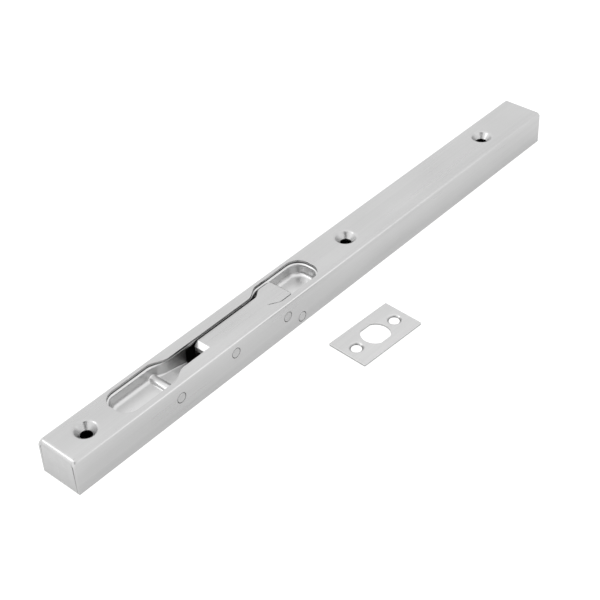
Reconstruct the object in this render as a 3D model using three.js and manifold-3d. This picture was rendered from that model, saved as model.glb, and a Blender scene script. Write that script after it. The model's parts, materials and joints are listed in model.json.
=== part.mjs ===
// A lever-action flush bolt in folded steel sheet, with its loose strike plate. Millimetres, +Z up.
// The origin is the centre of the outer face of the face plate. +X runs to the end where the bolt
// comes out, and the case hangs below the face. The lever is shown folded flat, with the bolt drawn in.
import * as THREE from "three";
import { mergeVertices } from "three/addons/utils/BufferGeometryUtils.js";
import Module from "manifold-3d";

const wasm = await Module();
wasm.setup();

// Case
const caseLength = 300;
const caseWidth = 20;
const caseHeight = 16.5;
const sheet = 1.1;
const foldRadius = 1.5;
const gap = 0.3; // clearance between pieces that touch on the real bolt
const halfLength = caseLength / 2;
const halfWidth = caseWidth / 2;
const innerHalfWidth = halfWidth - sheet;

// Screw holes of the face plate, pressed in as deep countersinks
const screwPlaces = [-135.3, 15, 115.5];
const screwHoleRadius = 2.4;
const dimpleRimRadius = 5.1;
const dimpleDepth = dimpleRimRadius - screwHoleRadius; // a 90 degree cone

// Lever and its drive
const pivotX = -65;
const pivotZ = -5.9;
const leverFace = 4.75; // from the pivot axis to the lever's upper face, and to its underside
const leverTaper = THREE.MathUtils.degToRad(11); // angle between the upper face and the underside
const noseRadius = 10.2;
const noseFacetTop = 7.7; // behind the pivot, where the upper face ends and the nose's flat begins
const noseFacetFoot = 2.9; // above the pivot, where the nose's flat meets its round
const leverReach = 38;
const shankHalfWidth = 3.65;
const paddleHalfWidth = 6;
const slotHalfWidth = 2.6;
const crankRadius = 6.6;
const linkLength = 16.1;
const linkHalfHeight = 1.9;
const drivePinRadius = 1.25;
const crankX = pivotX - crankRadius * Math.cos(leverTaper / 2);
const crankZ = pivotZ - crankRadius * Math.sin(leverTaper / 2);
const throwLength = 2 * crankRadius * Math.cos(leverTaper / 2);

// Recess around the lever: two wide wells joined by a narrow neck
const wellFar = 56.4; // from the pivot to the outer end of each well
const rearWellStart = 32;
const frontWellStart = 31;
const neckEnd = 23;
const faceOpening = { well: 7.5, neck: 4.2, far: wellFar, corner: 6.2 };
const panThickness = 0.8;
const panInside = { well: 6.6, neck: 4.15, far: wellFar - 0.9, corner: 5.5 };
const flangeWidth = 1.9;
const panTop = -sheet - gap;
const panFloor = -6.9;
const panSlotRear = 14; // behind the pivot, where the floor ends above the lever's drive
const panSlotFront = 28.2; // ahead of the pivot
const chuteDepth = 1.9; // the floor drops by this much towards the slot, clear of the lever laid back

// Cross pins: places measured from the pivot
const restPinReach = 30.85;
const restPinZ = -7.5;
const restPinRadius = 1.25;
const guidePinX = 39.5;
const guidePinZ = -12.95;
const guidePinRadius = 1.5;
const pivotRivetRadius = 2.1;
const pivotSpigotRadius = 1.5;
const pinHeadRadius = 2.1; // each pin's ends are spread to this in the side walls

// Drawbar and bolt
const drawbarHalfWidth = 6;
const drawbarTop = restPinZ - restPinRadius - gap;
const drawbarBottom = guidePinZ + guidePinRadius + gap;
const drawbarRear = pivotX + 14.6;
const boltRadius = 5.5;
const boltFlat = 5;
const boltZ = -8.5;
const boltRear = 121.8;
const boltNose = halfLength - 0.4;
const boltChamfer = 1;
const boltSeatLength = 9; // the part of the bolt that is cut flat to sit on the drawbar
const smallRivetRadius = 1.25;

// Strike plate
const strike = { length: 35, width: 19.7, thickness: 1, x: -12.7, y: -38.5, turn: -3 };
const strikeHoleRadius = 6.4;
const strikeHoleFlat = 5.7;
const strikeScrewSpacing = 23.4;
const strikeScrewRadius = 2.15;
const strikeSinkRadius = 3.6;

// Cutters run this far past the faces that they cut
const beyond = 1;

const finish = {
  brushed: { color: 0xc9c9c7, roughness: 0.34, metalness: 1 },
  pressed: { color: 0xbfbfbe, roughness: 0.3, metalness: 1 },
  pin: { color: 0xadadac, roughness: 0.32, metalness: 1 },
  zinc: { color: 0xa6a8aa, roughness: 0.42, metalness: 1 },
  spring: { color: 0x8f9092, roughness: 0.35, metalness: 1 },
};

const part = new THREE.Group();

// ---- shapes and booleans

function solid(geometry) {
  const bare = geometry.clone();
  bare.deleteAttribute("normal");
  bare.deleteAttribute("uv");
  const merged = mergeVertices(bare, 1e-4);
  return new wasm.Manifold(
    new wasm.Mesh({
      numProp: 3,
      vertProperties: merged.attributes.position.array,
      triVerts: new Uint32Array(merged.index.array),
    }),
  );
}

function addPiece(name, body, look, place = [0, 0, 0], turn = 0) {
  const data = body.getMesh();
  const geometry = new THREE.BufferGeometry();
  geometry.setAttribute("position", new THREE.BufferAttribute(data.vertProperties, 3));
  geometry.setIndex(new THREE.BufferAttribute(data.triVerts, 1));
  geometry.computeVertexNormals();
  const mesh = new THREE.Mesh(geometry, new THREE.MeshStandardMaterial(finish[look]));
  mesh.name = name;
  mesh.position.set(...place);
  mesh.rotation.z = turn;
  part.add(mesh);
}

// A block between two opposite corners.
function block(low, high) {
  const size = high.map((value, axis) => value - low[axis]);
  const centre = high.map((value, axis) => (value + low[axis]) / 2);
  return solid(new THREE.BoxGeometry(...size).translate(...centre));
}

// A round bar along one axis, from one place on it to another.
function bar(axis, radius, from, to, across, sides = 20) {
  const geometry = new THREE.CylinderGeometry(radius, radius, to - from, sides);
  geometry.translate(0, (from + to) / 2, 0);
  if (axis === "x") geometry.rotateZ(-Math.PI / 2).translate(0, across[0], across[1]);
  if (axis === "y") geometry.translate(across[0], 0, across[1]);
  if (axis === "z") geometry.rotateX(Math.PI / 2).translate(across[0], across[1], 0);
  return solid(geometry);
}

// An outline in the plane of X and Y, raised from one height to another.
function raised(outline, from, to, curveSegments = 8) {
  const options = { depth: to - from, bevelEnabled: false, curveSegments };
  return solid(new THREE.ExtrudeGeometry(outline, options).translate(0, 0, from));
}

// A side view outline in X and Z, drawn out along Y from one place to another.
function sideways(outline, fromY, toY, curveSegments = 10) {
  const options = { depth: toY - fromY, bevelEnabled: false, curveSegments };
  const geometry = new THREE.ExtrudeGeometry(outline, options);
  return solid(geometry.rotateX(Math.PI / 2).translate(0, toY, 0));
}

// A ring or a cone turned about the Z axis from a closed profile of radius and height.
function turned(profile, x, y, sides = 32) {
  const points = [...profile, profile[0]].map(([radius, z]) => new THREE.Vector2(radius, z));
  const geometry = new THREE.LatheGeometry(points, sides).rotateX(Math.PI / 2);
  return solid(geometry.translate(x, y, 0));
}

// The outline of the recess: well, neck, well, all round. Its centre is the lever's pivot.
function dumbbell({ well, neck, far, corner }) {
  const shape = new THREE.Shape();
  const frontBend = (neckEnd + frontWellStart) / 2;
  const rearBend = (neckEnd + rearWellStart) / 2;
  const right = Math.PI / 2;
  shape.moveTo(pivotX - neckEnd, -neck);
  shape.lineTo(pivotX + neckEnd, -neck);
  shape.bezierCurveTo(
    pivotX + frontBend, -neck, pivotX + frontBend, -well, pivotX + frontWellStart, -well,
  );
  shape.lineTo(pivotX + far - corner, -well);
  shape.absarc(pivotX + far - corner, corner - well, corner, -right, 0);
  shape.lineTo(pivotX + far, well - corner);
  shape.absarc(pivotX + far - corner, well - corner, corner, 0, right);
  shape.lineTo(pivotX + frontWellStart, well);
  shape.bezierCurveTo(
    pivotX + frontBend, well, pivotX + frontBend, neck, pivotX + neckEnd, neck,
  );
  shape.lineTo(pivotX - neckEnd, neck);
  shape.bezierCurveTo(
    pivotX - rearBend, neck, pivotX - rearBend, well, pivotX - rearWellStart, well,
  );
  shape.lineTo(pivotX - far + corner, well);
  shape.absarc(pivotX - far + corner, well - corner, corner, right, 2 * right);
  shape.lineTo(pivotX - far, corner - well);
  shape.absarc(pivotX - far + corner, corner - well, corner, 2 * right, 3 * right);
  shape.lineTo(pivotX - rearWellStart, -well);
  shape.bezierCurveTo(
    pivotX - rearBend, -well, pivotX - rearBend, -neck, pivotX - neckEnd, -neck,
  );
  return shape;
}

function grown(outline, amount) {
  return {
    well: outline.well + amount,
    neck: outline.neck + amount,
    far: outline.far + amount,
    corner: outline.corner + amount,
  };
}

// A round bar with two flats, along X, as the bolt and the holes it runs in.
function flattedBar(radius, flat, from, to, sides) {
  const round = bar("x", radius, from, to, [0, boltZ], sides);
  const between = block([from, -flat, boltZ - 2 * radius], [to, flat, boltZ + 2 * radius]);
  return round.intersect(between);
}

// ---- case: one folded channel, open at the back, with a flap folded down at each end

function channelOutline() {
  const shape = new THREE.Shape();
  const innerRadius = foldRadius - sheet;
  shape.moveTo(-halfWidth, -caseHeight);
  shape.lineTo(-innerHalfWidth, -caseHeight);
  shape.lineTo(-innerHalfWidth, -sheet - innerRadius);
  shape.lineTo(-innerHalfWidth + innerRadius, -sheet);
  shape.lineTo(innerHalfWidth - innerRadius, -sheet);
  shape.lineTo(innerHalfWidth, -sheet - innerRadius);
  shape.lineTo(innerHalfWidth, -caseHeight);
  shape.lineTo(halfWidth, -caseHeight);
  shape.lineTo(halfWidth, -foldRadius);
  shape.absarc(halfWidth - foldRadius, -foldRadius, foldRadius, 0, Math.PI / 2);
  shape.lineTo(-halfWidth + foldRadius, 0);
  shape.absarc(-halfWidth + foldRadius, -foldRadius, foldRadius, Math.PI / 2, Math.PI);
  return shape;
}

function makeCase() {
  const channel = new THREE.ExtrudeGeometry(channelOutline(), {
    depth: caseLength,
    bevelEnabled: false,
    curveSegments: 6,
  });
  channel.rotateX(Math.PI / 2).rotateZ(Math.PI / 2).translate(-halfLength, 0, 0);
  let body = solid(channel);
  const flapEdge = innerHalfWidth - gap;
  for (const end of [-1, 1]) {
    const faces = [end * halfLength, end * (halfLength - sheet)].sort((a, b) => a - b);
    const flapBottom = [faces[0], -flapEdge, -caseHeight];
    body = body.add(block(flapBottom, [faces[1], flapEdge, -sheet / 2]));
  }
  body = body.subtract(raised(dumbbell(faceOpening), -sheet - beyond, beyond));
  const boltHole = [boltRadius + gap, boltFlat + gap, halfLength - sheet - beyond];
  body = body.subtract(flattedBar(...boltHole, halfLength + beyond, 32));
  for (const x of screwPlaces) {
    const cut = dimpleRimRadius + sheet / 2;
    const wall = dimpleRimRadius + sheet;
    const bottom = -dimpleDepth - sheet * 0.9;
    body = body.subtract(bar("z", cut, -sheet - beyond, beyond, [x, 0], 32));
    body = body.add(
      turned(
        [
          [screwHoleRadius, -dimpleDepth],
          [screwHoleRadius, bottom],
          [screwHoleRadius + sheet / 2, bottom],
          [dimpleRimRadius + sheet / 2, -sheet],
          [wall, -sheet],
          [wall, 0],
          [dimpleRimRadius, 0],
        ],
        x,
        0,
      ),
    );
  }
  for (const [x, z] of wallBores) {
    body = body.subtract(bar("y", pinHeadRadius + gap, -2 * halfWidth, 2 * halfWidth, [x, z]));
  }
  return body;
}

const wallBores = [
  [pivotX, pivotZ],
  [pivotX - restPinReach, restPinZ],
  [pivotX + restPinReach, restPinZ],
  [pivotX + guidePinX, guidePinZ],
];

// ---- cross pins: a round pin from wall to wall, its ends spread in the walls' bores

function makeCrossPin(radius, x, z) {
  let pin = bar("y", radius, -halfWidth, halfWidth, [x, z]);
  pin = pin.add(bar("y", pinHeadRadius, -halfWidth, -innerHalfWidth, [x, z]));
  return pin.add(bar("y", pinHeadRadius, innerHalfWidth, halfWidth, [x, z]));
}

// ---- recess pan: a pressed tray under the opening, raised over the two rest pins

// The side view of the sloping floor behind the pivot, from its lower edge up to a level top.
function chuteSide(edge, top) {
  const start = pivotX - neckEnd;
  const end = pivotX - panSlotRear + gap;
  const shape = new THREE.Shape();
  shape.moveTo(start, edge);
  shape.lineTo(end, edge - chuteDepth);
  shape.lineTo(end, top);
  shape.lineTo(start, top);
  return shape;
}

function makePan() {
  const underside = panFloor - panThickness;
  const openFrom = pivotX - panSlotRear;
  const openTo = pivotX + panSlotFront;
  const ridgeRadius = restPinRadius + gap + panThickness;
  let tray = raised(dumbbell(grown(panInside, panThickness)), underside, panTop);
  tray = tray.add(raised(dumbbell(grown(panInside, flangeWidth)), panTop - panThickness, panTop));
  const chuteHalfWidth = panInside.neck + panThickness;
  tray = tray.add(sideways(chuteSide(underside, panFloor), -chuteHalfWidth, chuteHalfWidth));
  tray = tray.subtract(raised(dumbbell(panInside), panFloor, beyond));
  const hollow = chuteSide(panFloor, panFloor + beyond);
  tray = tray.subtract(sideways(hollow, -panInside.neck, panInside.neck));
  for (const side of [-1, 1]) {
    const x = pivotX + side * restPinReach;
    const reach = panInside.well + panThickness / 2;
    tray = tray.add(bar("y", ridgeRadius, -reach, reach, [x, restPinZ], 24));
  }
  for (const side of [-1, 1]) {
    const x = pivotX + side * restPinReach;
    const open = restPinRadius + gap;
    tray = tray.subtract(bar("y", open, -halfWidth, halfWidth, [x, restPinZ]));
    const below = [x + ridgeRadius + beyond, halfWidth, underside];
    tray = tray.subtract(block([x - ridgeRadius - beyond, -halfWidth, -caseHeight], below));
  }
  const slotLow = [openFrom, -halfWidth, -caseHeight];
  return tray.subtract(block(slotLow, [openTo, halfWidth, panTop - panThickness]));
}

// ---- lever: a wedge that lies flush both ways round, slotted underneath for the links

function leverSide() {
  const slope = Math.tan(leverTaper);
  const under = leverFace / Math.cos(leverTaper);
  const facetAngle = Math.PI - Math.asin(noseFacetFoot / noseRadius);
  const underAngle = Math.PI + leverTaper + Math.asin(leverFace / noseRadius);
  const tipLow = -under + leverReach * slope;
  const shape = new THREE.Shape();
  shape.moveTo(pivotX + leverReach, pivotZ + tipLow);
  shape.lineTo(pivotX + leverReach, pivotZ + leverFace);
  shape.lineTo(pivotX - noseFacetTop, pivotZ + leverFace);
  shape.absarc(pivotX, pivotZ, noseRadius, facetAngle, underAngle);
  return shape;
}

function leverPlan() {
  const shape = new THREE.Shape();
  const flareStart = pivotX + 26;
  const flareEnd = pivotX + 31.5;
  const flareMiddle = (flareStart + flareEnd) / 2;
  const tip = pivotX + leverReach;
  const tipCorner = 0.8;
  const noseTurn = pivotX - noseRadius + shankHalfWidth;
  shape.moveTo(noseTurn, -shankHalfWidth);
  shape.lineTo(flareStart, -shankHalfWidth);
  shape.bezierCurveTo(
    flareMiddle, -shankHalfWidth, flareMiddle, -paddleHalfWidth, flareEnd, -paddleHalfWidth,
  );
  shape.lineTo(tip - tipCorner, -paddleHalfWidth);
  shape.lineTo(tip, tipCorner - paddleHalfWidth);
  shape.lineTo(tip, paddleHalfWidth - tipCorner);
  shape.lineTo(tip - tipCorner, paddleHalfWidth);
  shape.lineTo(flareEnd, paddleHalfWidth);
  shape.bezierCurveTo(
    flareMiddle, paddleHalfWidth, flareMiddle, shankHalfWidth, flareStart, shankHalfWidth,
  );
  shape.lineTo(noseTurn, shankHalfWidth);
  shape.absarc(noseTurn, 0, shankHalfWidth, Math.PI / 2, (3 * Math.PI) / 2);
  return shape;
}

function makeLever() {
  const skin = 1.5;
  const noseWall = 1.2;
  const noseOpenTop = pivotZ + 1.2;
  const slotEnd = pivotX + 16.2;
  const low = pivotZ - 2 * noseRadius;
  let body = sideways(leverSide(), -halfWidth, halfWidth);
  body = body.intersect(raised(leverPlan(), low, beyond));
  const hollowTop = pivotZ + leverFace - skin;
  const hollowSpan = [-slotHalfWidth, slotHalfWidth, [pivotX, pivotZ], 40];
  const noseHollow = bar("y", noseRadius - noseWall, ...hollowSpan);
  const hollowLow = [pivotX - 2 * noseRadius, -slotHalfWidth, low];
  const hollow = block(hollowLow, [pivotX, slotHalfWidth, hollowTop]);
  body = body.subtract(noseHollow.intersect(hollow));
  body = body.subtract(block([pivotX, -slotHalfWidth, low], [slotEnd, slotHalfWidth, hollowTop]));
  body = body.subtract(block(hollowLow, [pivotX, slotHalfWidth, noseOpenTop]));
  body = body.subtract(
    bar("y", pivotSpigotRadius + gap, -halfWidth, halfWidth, [pivotX, pivotZ]),
  );
  return body.subtract(bar("y", drivePinRadius + gap, -halfWidth, halfWidth, [crankX, crankZ]));
}

// ---- pivot rivets: one short stepped rivet from each side wall into the lever's cheek

function makePivotRivet(side) {
  const spigot = slotHalfWidth + gap;
  const shoulder = shankHalfWidth + gap;
  const range = (from, to) => [side * from, side * to].sort((a, b) => a - b);
  const thin = bar("y", pivotSpigotRadius, ...range(spigot, halfWidth), [pivotX, pivotZ]);
  const thick = bar("y", pivotRivetRadius, ...range(shoulder, halfWidth), [pivotX, pivotZ]);
  return thin.add(thick);
}

// ---- links: two flat plates side by side from the crank pin to the link pin

function makeLink(side) {
  const inner = 1.1;
  const outer = 2.3;
  const shape = new THREE.Shape();
  const linkX = crankX + linkLength;
  shape.moveTo(crankX, crankZ - linkHalfHeight);
  shape.lineTo(linkX, crankZ - linkHalfHeight);
  shape.absarc(linkX, crankZ, linkHalfHeight, -Math.PI / 2, Math.PI / 2);
  shape.lineTo(crankX, crankZ + linkHalfHeight);
  shape.absarc(crankX, crankZ, linkHalfHeight, Math.PI / 2, (3 * Math.PI) / 2);
  const faces = [side * inner, side * outer].sort((a, b) => a - b);
  let body = sideways(shape, ...faces);
  for (const x of [crankX, linkX]) {
    body = body.subtract(bar("y", drivePinRadius + gap / 2, -halfWidth, halfWidth, [x, crankZ]));
  }
  return body;
}

// ---- drive yoke: a plate on edge behind the drawbar; the link pin works in its tall window

function makeYoke() {
  const halfThickness = 0.8;
  const rim = 1.6;
  const sway = 0.21 * crankRadius; // how far the pin leads or lags a steady slide
  const windowHalf = drivePinRadius + sway + gap;
  const windowTop = crankZ + drivePinRadius + gap;
  const windowBottom = pivotZ - crankRadius - drivePinRadius - gap;
  const x = crankX + linkLength;
  const tailEnd = pivotX + 24;
  let plate = block(
    [x - windowHalf - rim, -halfThickness, windowBottom - rim],
    [x + windowHalf + rim, halfThickness, windowTop + rim],
  );
  const tailLow = [x + windowHalf, -halfThickness, drawbarBottom - gap - rim];
  plate = plate.add(block(tailLow, [tailEnd, halfThickness, drawbarBottom - gap]));
  return plate.subtract(
    block([x - windowHalf, -beyond, windowBottom], [x + windowHalf, beyond, windowTop]),
  );
}

// ---- drawbar: a flat strip with a long slot where each screw passes through it

const boltRivetPlaces = [boltRear + 2.4, boltRear + 6.4];
const springRivetX = 44;

function makeDrawbar() {
  const screwSlotHalfWidth = screwHoleRadius + 0.6;
  const front = boltRear + boltSeatLength;
  let strip = block(
    [drawbarRear, -drawbarHalfWidth, drawbarBottom],
    [front, drawbarHalfWidth, drawbarTop],
  );
  for (const x of screwPlaces.slice(1)) {
    const slotRear = x - throwLength;
    const slot = new THREE.Shape();
    slot.moveTo(slotRear, -screwSlotHalfWidth);
    slot.lineTo(x, -screwSlotHalfWidth);
    slot.absarc(x, 0, screwSlotHalfWidth, -Math.PI / 2, Math.PI / 2);
    slot.lineTo(slotRear, screwSlotHalfWidth);
    slot.absarc(slotRear, 0, screwSlotHalfWidth, Math.PI / 2, (3 * Math.PI) / 2);
    strip = strip.subtract(raised(slot, drawbarBottom - beyond, drawbarTop + beyond));
  }
  for (const x of [...boltRivetPlaces, springRivetX]) {
    const hole = [drawbarBottom - beyond, drawbarTop + beyond, [x, 0]];
    strip = strip.subtract(bar("z", smallRivetRadius + gap / 2, ...hole, 16));
  }
  return strip;
}

// ---- bolt: a round bar with flats, cut away behind to sit on the drawbar

function makeBolt() {
  let bolt = flattedBar(boltRadius, boltFlat, boltRear, boltNose, 40);
  const profile = [
    [0, boltRear],
    [boltRadius + beyond, boltRear],
    [boltRadius + beyond, boltNose - boltChamfer - beyond],
    [boltRadius - boltChamfer, boltNose],
    [0, boltNose],
  ];
  const points = profile.map(([radius, x]) => new THREE.Vector2(radius, x));
  const tapered = new THREE.LatheGeometry(points, 40);
  tapered.rotateZ(-Math.PI / 2).translate(0, 0, boltZ);
  bolt = bolt.intersect(solid(tapered));
  const seatLow = [boltRear - beyond, -boltRadius - beyond, -caseHeight];
  const seatHigh = [boltRear + boltSeatLength + gap, boltRadius + beyond, drawbarTop + gap];
  bolt = bolt.subtract(block(seatLow, seatHigh));
  for (const x of boltRivetPlaces) {
    bolt = bolt.subtract(bar("z", smallRivetRadius + gap / 2, -caseHeight, 0, [x, 0], 16));
  }
  return bolt;
}

// ---- bolt guide: an angle bracket under the face plate, with a hole for the bolt

function makeBoltGuide() {
  const rear = 134;
  const thickness = 1.6;
  const foot = 8;
  const halfSpan = innerHalfWidth - gap;
  let bracket = block([rear, -halfSpan, -caseHeight + 0.6], [rear + thickness, halfSpan, panTop]);
  bracket = bracket.add(
    block([rear, -halfSpan, panTop - sheet], [rear + foot, halfSpan, panTop]),
  );
  const cut = [rear - beyond, rear + thickness + beyond];
  bracket = bracket.subtract(flattedBar(boltRadius + gap, boltFlat + gap, ...cut, 32));
  const barHalfWidth = drawbarHalfWidth + gap;
  const barLow = [cut[0], -barHalfWidth, drawbarBottom - gap];
  return bracket.subtract(block(barLow, [cut[1], barHalfWidth, drawbarTop + gap]));
}

// ---- friction spring: a bowed leaf riveted to the drawbar, rubbing on the face plate's inside

function makeFrictionSpring() {
  const leaf = 0.5;
  const halfSpan = 3;
  const footBottom = drawbarTop + gap;
  const footEnd = springRivetX + 4;
  const crownX = footEnd + 15;
  const crownTop = -sheet - gap;
  const tipX = crownX + 15;
  const steps = 16;
  const shape = new THREE.Shape();
  const rise = crownTop - leaf - footBottom;
  const heightAt = (x) => {
    const away = Math.abs(x - crownX) / (crownX - footEnd);
    return footBottom + rise * (0.5 + 0.5 * Math.cos(Math.PI * away));
  };
  const run = Array.from({ length: steps + 1 }, (_, i) => footEnd + ((tipX - footEnd) * i) / steps);
  shape.moveTo(springRivetX - 4, footBottom);
  for (const x of run) shape.lineTo(x, heightAt(x));
  for (const x of run.reverse()) shape.lineTo(x, heightAt(x) + leaf);
  shape.lineTo(springRivetX - 4, footBottom + leaf);
  const hole = bar("z", smallRivetRadius + gap / 2, -caseHeight, 0, [springRivetX, 0], 16);
  return sideways(shape, -halfSpan, halfSpan).subtract(hole);
}

function makeSpringRivet() {
  const headRadius = 2.2;
  const headBottom = drawbarTop + gap + 0.5 + gap / 2;
  const shank = bar("z", smallRivetRadius, drawbarBottom, headBottom + 0.2, [springRivetX, 0], 16);
  const head = bar("z", headRadius, headBottom, headBottom + 0.8, [springRivetX, 0], 16);
  return shank.add(head);
}

// ---- strike plate: a flat plate with a bolt hole and two countersunk screw holes

function makeStrike() {
  const { length, width, thickness } = strike;
  const flats = [length / 2, strikeHoleFlat, thickness + beyond];
  let plate = block([-length / 2, -width / 2, 0], [length / 2, width / 2, thickness]);
  const round = bar("z", strikeHoleRadius, -beyond, thickness + beyond, [0, 0], 40);
  const hole = round.intersect(block([-flats[0], -flats[1], -beyond], flats));
  plate = plate.subtract(hole);
  for (const side of [-1, 1]) {
    const x = (side * strikeScrewSpacing) / 2;
    const rise = strikeSinkRadius - strikeScrewRadius;
    plate = plate.subtract(bar("z", strikeScrewRadius, -beyond, thickness + beyond, [x, 0], 24));
    plate = plate.subtract(
      turned(
        [
          [0, thickness - rise],
          [strikeScrewRadius, thickness - rise],
          [strikeSinkRadius + beyond, thickness + beyond],
          [0, thickness + beyond],
        ],
        x,
        0,
        24,
      ),
    );
  }
  return plate;
}

// ---- assembly

addPiece("case", makeCase(), "brushed");
addPiece("recess_pan", makePan(), "pressed");
addPiece("lever", makeLever(), "brushed");
addPiece("pivot_rivet_near", makePivotRivet(-1), "pin");
addPiece("pivot_rivet_far", makePivotRivet(1), "pin");

const rearPin = makeCrossPin(restPinRadius, pivotX - restPinReach, restPinZ);
const frontPin = makeCrossPin(restPinRadius, pivotX + restPinReach, restPinZ);
addPiece("rest_pin_rear", rearPin, "pin");
addPiece("rest_pin_front", frontPin, "pin");
addPiece("guide_pin", makeCrossPin(guidePinRadius, pivotX + guidePinX, guidePinZ), "pin");

const crankPinEnd = shankHalfWidth - 0.1;
addPiece("crank_pin", bar("y", drivePinRadius, -crankPinEnd, crankPinEnd, [crankX, crankZ]), "pin");
addPiece("link_near", makeLink(-1), "zinc");
addPiece("link_far", makeLink(1), "zinc");
const linkPinEnd = slotHalfWidth - 0.2;
const linkPinPlace = [crankX + linkLength, crankZ];
addPiece("link_pin", bar("y", drivePinRadius, -linkPinEnd, linkPinEnd, linkPinPlace), "pin");

addPiece("drive_yoke", makeYoke(), "zinc");
addPiece("drawbar", makeDrawbar(), "zinc");
addPiece("bolt", makeBolt(), "pin");
boltRivetPlaces.forEach((x, index) => {
  const name = index ? "bolt_rivet_front" : "bolt_rivet_rear";
  addPiece(name, bar("z", smallRivetRadius, drawbarBottom, boltZ + 4.6, [x, 0], 16), "pin");
});
addPiece("bolt_guide", makeBoltGuide(), "pressed");
addPiece("friction_spring", makeFrictionSpring(), "spring");
addPiece("spring_rivet", makeSpringRivet(), "pin");

const strikePlace = [strike.x, strike.y, -caseHeight];
addPiece("strike_plate", makeStrike(), "brushed", strikePlace, THREE.MathUtils.degToRad(strike.turn));

export default part;
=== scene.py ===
# A lever-action flush bolt in brushed steel sheet and its loose strike plate, built on the CAD frame.
# Shapes are worked out in millimetres on the frame's axes, and each mesh is scaled to metres at the end.
# Places along the lever and its recess are measured from the lever's pivot, and are called u.
import json
import math

import bmesh
import bpy
from mathutils import Matrix, Vector
from mathutils.geometry import tessellate_polygon


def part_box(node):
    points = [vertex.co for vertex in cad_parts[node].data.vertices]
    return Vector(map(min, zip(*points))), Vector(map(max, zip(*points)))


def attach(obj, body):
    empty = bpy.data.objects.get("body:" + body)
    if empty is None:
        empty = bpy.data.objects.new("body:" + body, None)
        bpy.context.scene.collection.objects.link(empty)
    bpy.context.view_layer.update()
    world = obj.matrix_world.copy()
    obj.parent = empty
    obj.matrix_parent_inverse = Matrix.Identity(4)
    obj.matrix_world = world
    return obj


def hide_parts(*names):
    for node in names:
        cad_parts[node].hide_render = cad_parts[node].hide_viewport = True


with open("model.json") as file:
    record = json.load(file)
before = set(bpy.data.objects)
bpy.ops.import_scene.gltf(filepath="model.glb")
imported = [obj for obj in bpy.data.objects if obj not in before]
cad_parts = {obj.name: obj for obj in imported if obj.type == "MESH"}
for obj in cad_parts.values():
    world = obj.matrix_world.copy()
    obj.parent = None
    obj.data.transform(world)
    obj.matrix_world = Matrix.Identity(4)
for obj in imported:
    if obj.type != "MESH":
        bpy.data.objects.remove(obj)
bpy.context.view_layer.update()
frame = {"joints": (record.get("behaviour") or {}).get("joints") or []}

MM = 0.001
SHARP = math.radians(35)  # a fold sharper than this is shaded as an edge
WELD = 1e-4  # points closer than this, in millimetres, are one


def box_mm(node_name):
    low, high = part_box(node_name)
    return low / MM, high / MM


def middle_mm(node_name):
    low, high = box_mm(node_name)
    return (low + high) / 2


joints = {joint["name"]: joint for joint in frame["joints"]}
pivot_x, _, pivot_z = (value / MM for value in joints["lever_hinge"]["pos_m"])
crank_x, _, crank_z = (value / MM for value in joints["link_hinge"]["pos_m"])
throw = joints["bolt_throw"]["range_m"][1] / MM

case_low, case_high = box_mm("case")
half_length = case_high.x
half_width = case_high.y
case_bottom = case_low.z
SHEET = 1.1
FOLD = 1.6  # outside radius of the folds along the case
END_FOLDS = {-1: 2.2, 1: 1.25}  # and of the folds across its rear and front end
CLEAR = 0.3  # running clearance between pieces
FIT = 0.22  # the gap round a pin in its bore
SCREW_PLACES = (-135.3, 15.0, 115.5)  # along the case

bolt_low, bolt_high = box_mm("bolt")
bolt_flat = bolt_high.y
bolt_radius = (bolt_high.z - bolt_low.z) / 2
bolt_z = (bolt_high.z + bolt_low.z) / 2
BOLT_HOLE = (bolt_radius + CLEAR, bolt_flat + CLEAR)


# ---- outlines: closed lists of (x, y), anticlockwise


def arc(x, y, radius, start, end, steps):
    """Points on an arc, from one angle to another in degrees, both ends included."""
    angles = [math.radians(start + (end - start) * i / steps) for i in range(steps + 1)]
    return [(x + radius * math.cos(a), y + radius * math.sin(a)) for a in angles]


def circle(x, y, radius, steps=48):
    return arc(x, y, radius, 0, 360, steps)[:-1]


def quarter_turns(steps):
    return [math.radians(90 * i / steps) for i in range(steps + 1)]


def ease(share):
    return share * share * (3 - 2 * share)


def grown(outline, amount):
    """The outline moved outwards by an amount, corners kept square to both sides."""
    if abs(amount) < 1e-9:
        return list(outline)
    moved = []
    count = len(outline)
    for i, point in enumerate(outline):
        here = Vector(point)
        before = (here - Vector(outline[i - 1])).normalized()
        after = (Vector(outline[(i + 1) % count]) - here).normalized()
        normals = [Vector((side.y, -side.x)) for side in (before, after)]
        middle = (normals[0] + normals[1]).normalized()
        moved.append(tuple(here + middle * amount / max(middle.dot(normals[0]), 0.3)))
    return moved


def softened(points, radius, steps=3, closed=True):
    """The points with each corner rounded over; an open line keeps its two ends."""
    rounder = []
    last = len(points) - 1
    for i, point in enumerate(points):
        if not closed and i in (0, last):
            rounder.append(point)
            continue
        here = Vector(point)
        before = Vector(points[i - 1]) - here
        after = Vector(points[(i + 1) % len(points)]) - here
        reach = min(radius, before.length * 0.45, after.length * 0.45)
        start = here + before.normalized() * reach
        end = here + after.normalized() * reach
        for k in range(steps + 1):
            t = k / steps
            rounder.append(tuple(start * (1 - t) ** 2 + here * 2 * t * (1 - t) + end * t**2))
    return rounder


def mixed(one, other, share):
    """An outline part of the way from one outline to another with as many points."""
    return [(a + (c - a) * share, b + (d - b) * share) for (a, b), (c, d) in zip(one, other)]


def flatted_circle(x, y, radius, flat, steps=16):
    """A circle cut by two flats, above and below its middle."""
    lean = math.degrees(math.asin(flat / radius))
    right = arc(x, y, radius, -lean, lean, steps)
    left = arc(x, y, radius, 180 - lean, 180 + lean, steps)
    return right + left


def slot_outline(x_from, x_to, y, half, steps=12):
    right = arc(x_to, y, half, -90, 90, steps)
    return right + arc(x_from, y, half, 90, 270, steps)


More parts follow.
